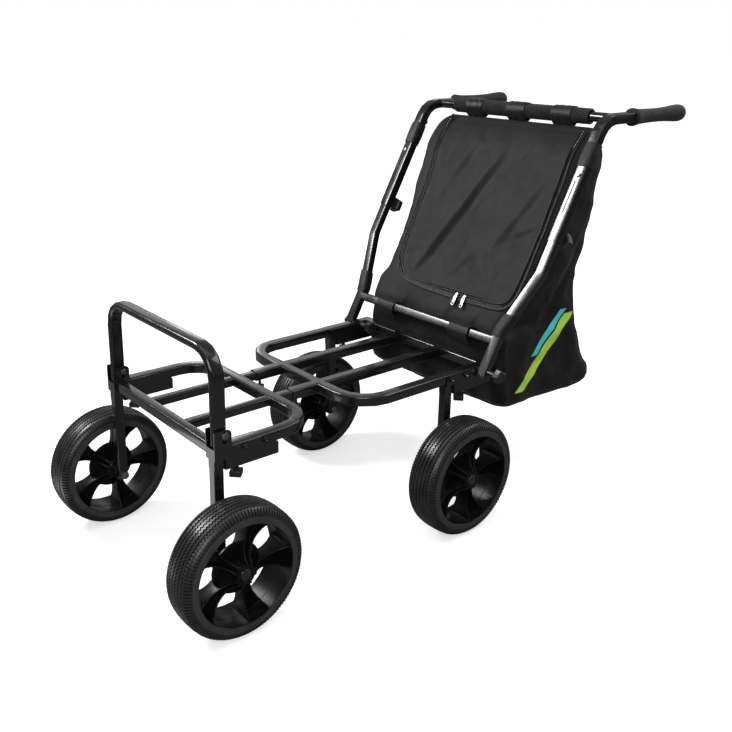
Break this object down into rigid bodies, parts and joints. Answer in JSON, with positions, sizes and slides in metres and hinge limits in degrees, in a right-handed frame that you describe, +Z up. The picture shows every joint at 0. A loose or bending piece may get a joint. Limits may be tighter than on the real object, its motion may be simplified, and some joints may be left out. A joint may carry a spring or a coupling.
{
  "type": "fishing trolley",
  "caption": "Four-wheeled fishing trolley with extending platform, folding hoop, plug-in wheel legs, folding push handle and zipped bag.",
  "frame": {"origin": "on the ground below the middle of the bounding box", "axes": "+Z up, +Y towards the push handle's grips, +X towards the trolley's right side seen with the handle behind"},
  "size_m": [0.585, 1.3807, 0.8846],
  "materials": {
    "black_paint": "satin black powder coat with light top highlights",
    "bright_steel": "bright zinc plated steel",
    "black_plastic": "matt moulded plastic",
    "gloss_plastic": "glossy moulded cap",
    "tyre": "matt foam-filled tread",
    "grip_foam": "dull closed-cell foam",
    "bag_fabric": "coated black polyester weave"
  },
  "bodies": {
    "rear_chassis": {"rear_frame": "black_paint", "bracket_rear_right": "black_paint", "bracket_rear_left": "black_paint", "hinge_nut_left": "bright_steel"},
    "front_chassis": {"front_frame": "black_paint", "bracket_front_right": "black_paint", "bracket_front_left": "black_paint"},
    "hoop_bolts": {"hoop_bolt_right": "bright_steel", "hoop_bolt_left": "bright_steel"},
    "hoop_body": {"hoop": "black_paint"},
    "lower_handle": {"handle_lower_frame": "black_paint", "bag_body": "bag_fabric"},
    "upper_handle": {"handle_upper_frame": "black_paint", "grip_right": "grip_foam", "grip_left": "grip_foam", "foam_sleeve": "grip_foam", "bag_hanger": "bag_fabric", "tube_sleeve_right": "bag_fabric", "tube_sleeve_left": "bag_fabric"},
    "flap": {"bag_flap": "bag_fabric"},
    "hinge_knob_right": {"hinge_knob_right": "black_plastic"},
    "clamp_knob_right": {"clamp_knob_right": "black_plastic"},
    "snap_button_right": {"snap_button_right": "bright_steel"},
    "zip_pull_right": {"zip_pull_right": "bright_steel"},
    "platform_screw_right": {"platform_screw_right": "black_plastic"},
    "leg_front_right": {"leg_front_right": "black_paint", "axle_front_right": "bright_steel"},
    "wheel_front_right": {"tyre_front_right": "tyre", "rim_front_right": "black_plastic", "hub_bush_front_right": "black_plastic"},
    "release_button_front_right": {"release_button_front_right": "gloss_plastic"},
    "wing_screw_front_right": {"wing_screw_front_right": "black_plastic"},
    "leg_rear_right": {"leg_rear_right": "black_paint", "axle_rear_right": "bright_steel"},
    "wheel_rear_right": {"tyre_rear_right": "tyre", "rim_rear_right": "black_plastic", "hub_bush_rear_right": "black_plastic"},
    "release_button_rear_right": {"release_button_rear_right": "gloss_plastic"},
    "wing_screw_rear_right": {"wing_screw_rear_right": "black_plastic"},
    "hinge_knob_left": {"hinge_knob_left": "black_plastic"},
    "clamp_knob_left": {"clamp_knob_left": "black_plastic"},
    "snap_button_left": {"snap_button_left": "bright_steel"},
    "zip_pull_left": {"zip_pull_left": "bright_steel"},
    "platform_screw_left": {"platform_screw_left": "black_plastic"},
    "leg_front_left": {"leg_front_left": "black_paint", "axle_front_left": "bright_steel"},
    "wheel_front_left": {"tyre_front_left": "tyre", "rim_front_left": "black_plastic", "hub_bush_front_left": "black_plastic"},
    "release_button_front_left": {"release_button_front_left": "gloss_plastic"},
    "wing_screw_front_left": {"wing_screw_front_left": "black_plastic"},
    "leg_rear_left": {"leg_rear_left": "black_paint", "axle_rear_left": "bright_steel"},
    "wheel_rear_left": {"tyre_rear_left": "tyre", "rim_rear_left": "black_plastic", "hub_bush_rear_left": "black_plastic"},
    "release_button_rear_left": {"release_button_rear_left": "gloss_plastic"},
    "wing_screw_rear_left": {"wing_screw_rear_left": "black_plastic"}
  },
  "joints": [
    {"name": "platform_extend", "type": "slide", "parent": "rear_chassis", "child": "front_chassis", "axis": [0, -1, 0], "range_m": [-0.028, 0.2]},
    {"name": "hoop_drop", "type": "slide", "parent": "front_chassis", "child": "hoop_bolts", "axis": [0, 0, -1], "range_m": [0, 0.011]},
    {"name": "hoop_fold", "type": "hinge", "parent": "hoop_bolts", "child": "hoop_body", "pos_m": [0, -0.55, 0.369], "axis": [-1, 0, 0], "range_deg": [0, 90]},
    {"name": "handle_fold", "type": "hinge", "parent": "rear_chassis", "child": "lower_handle", "pos_m": [0, 0.11, 0.34], "axis": [1, 0, 0], "range_deg": [0, 98]},
    {"name": "handle_extend", "type": "slide", "parent": "lower_handle", "child": "upper_handle", "axis": [0, 0.4787, 0.878], "range_m": [0, 0.08]},
    {"name": "flap_open", "type": "hinge", "parent": "lower_handle", "child": "flap", "pos_m": [0, 0.398, 0.815], "axis": [1, 0, 0], "range_deg": [-100, 0]},
    {"name": "hinge_knob_right_turn", "type": "hinge", "parent": "rear_chassis", "child": "hinge_knob_right", "pos_m": [0.25, 0.11, 0.34], "axis": [1, 0, 0], "continuous": true},
    {"name": "clamp_knob_right_turn", "type": "hinge", "parent": "upper_handle", "child": "clamp_knob_right", "pos_m": [0.268, 0.26653, 0.6271], "axis": [0, 0.878, -0.4787], "continuous": true},
    {"name": "snap_button_right_press", "type": "slide", "parent": "upper_handle", "child": "snap_button_right", "axis": [0, 0.878, -0.4787], "range_m": [0, 0.005], "stiffness_N_per_m": 600, "springref_m": -0.003},
    {"name": "zip_pull_right_slide", "type": "slide", "parent": "lower_handle", "child": "zip_pull_right", "axis": [1, 0, 0], "range_m": [0, 0.1]},
    {"name": "platform_screw_right_turn", "type": "hinge", "parent": "rear_chassis", "child": "platform_screw_right", "pos_m": [0.066, -0.284, 0.31], "axis": [0, 0, 1], "continuous": true},
    {"name": "leg_front_right_pull", "type": "slide", "parent": "front_chassis", "child": "leg_front_right", "axis": [0, -1, 0], "range_m": [0, 0.06]},
    {"name": "wheel_front_right_spin", "type": "hinge", "parent": "leg_front_right", "child": "wheel_front_right", "pos_m": [0.255, -0.561, 0.13], "axis": [1, 0, 0], "continuous": true},
    {"name": "release_button_front_right_press", "type": "slide", "parent": "wheel_front_right", "child": "release_button_front_right", "axis": [-1, 0, 0], "range_m": [0, 0.004], "stiffness_N_per_m": 800, "springref_m": -0.002},
    {"name": "wing_screw_front_right_turn", "type": "hinge", "parent": "front_chassis", "child": "wing_screw_front_right", "pos_m": [0.198, -0.519, 0.283], "axis": [0, 0, 1], "continuous": true},
    {"name": "leg_rear_right_pull", "type": "slide", "parent": "rear_chassis", "child": "leg_rear_right", "axis": [0, -1, 0], "range_m": [0, 0.06]},
    {"name": "wheel_rear_right_spin", "type": "hinge", "parent": "leg_rear_right", "child": "wheel_rear_right", "pos_m": [0.255, 0.021, 0.13], "axis": [1, 0, 0], "continuous": true},
    {"name": "release_button_rear_right_press", "type": "slide", "parent": "wheel_rear_right", "child": "release_button_rear_right", "axis": [-1, 0, 0], "range_m": [0, 0.004], "stiffness_N_per_m": 800, "springref_m": -0.002},
    {"name": "wing_screw_rear_right_turn", "type": "hinge", "parent": "rear_chassis", "child": "wing_screw_rear_right", "pos_m": [0.198, 0.063, 0.283], "axis": [0, 0, 1], "continuous": true},
    {"name": "hinge_knob_left_turn", "type": "hinge", "parent": "rear_chassis", "child": "hinge_knob_left", "pos_m": [-0.165, 0.11, 0.34], "axis": [1, 0, 0], "continuous": true},
    {"name": "clamp_knob_left_turn", "type": "hinge", "parent": "upper_handle", "child": "clamp_knob_left", "pos_m": [-0.268, 0.26653, 0.6271], "axis": [0, 0.878, -0.4787], "continuous": true},
    {"name": "snap_button_left_press", "type": "slide", "parent": "upper_handle", "child": "snap_button_left", "axis": [0, 0.878, -0.4787], "range_m": [0, 0.005], "stiffness_N_per_m": 600, "springref_m": -0.003},
    {"name": "zip_pull_left_slide", "type": "slide", "parent": "lower_handle", "child": "zip_pull_left", "axis": [-1, 0, 0], "range_m": [0, 0.2]},
    {"name": "platform_screw_left_turn", "type": "hinge", "parent": "rear_chassis", "child": "platform_screw_left", "pos_m": [-0.066, -0.284, 0.31], "axis": [0, 0, 1], "continuous": true},
    {"name": "leg_front_left_pull", "type": "slide", "parent": "front_chassis", "child": "leg_front_left", "axis": [0, -1, 0], "range_m": [0, 0.06]},
    {"name": "wheel_front_left_spin", "type": "hinge", "parent": "leg_front_left", "child": "wheel_front_left", "pos_m": [-0.255, -0.561, 0.13], "axis": [1, 0, 0], "continuous": true},
    {"name": "release_button_front_left_press", "type": "slide", "parent": "wheel_front_left", "child": "release_button_front_left", "axis": [1, 0, 0], "range_m": [0, 0.004], "stiffness_N_per_m": 800, "springref_m": -0.002},
    {"name": "wing_screw_front_left_turn", "type": "hinge", "parent": "front_chassis", "child": "wing_screw_front_left", "pos_m": [-0.198, -0.519, 0.283], "axis": [0, 0, 1], "continuous": true},
    {"name": "leg_rear_left_pull", "type": "slide", "parent": "rear_chassis", "child": "leg_rear_left", "axis": [0, -1, 0], "range_m": [0, 0.06]},
    {"name": "wheel_rear_left_spin", "type": "hinge", "parent": "leg_rear_left", "child": "wheel_rear_left", "pos_m": [-0.255, 0.021, 0.13], "axis": [1, 0, 0], "continuous": true},
    {"name": "release_button_rear_left_press", "type": "slide", "parent": "wheel_rear_left", "child": "release_button_rear_left", "axis": [1, 0, 0], "range_m": [0, 0.004], "stiffness_N_per_m": 800, "springref_m": -0.002},
    {"name": "wing_screw_rear_left_turn", "type": "hinge", "parent": "rear_chassis", "child": "wing_screw_rear_left", "pos_m": [-0.198, 0.063, 0.283], "axis": [0, 0, 1], "continuous": true}
  ]
}
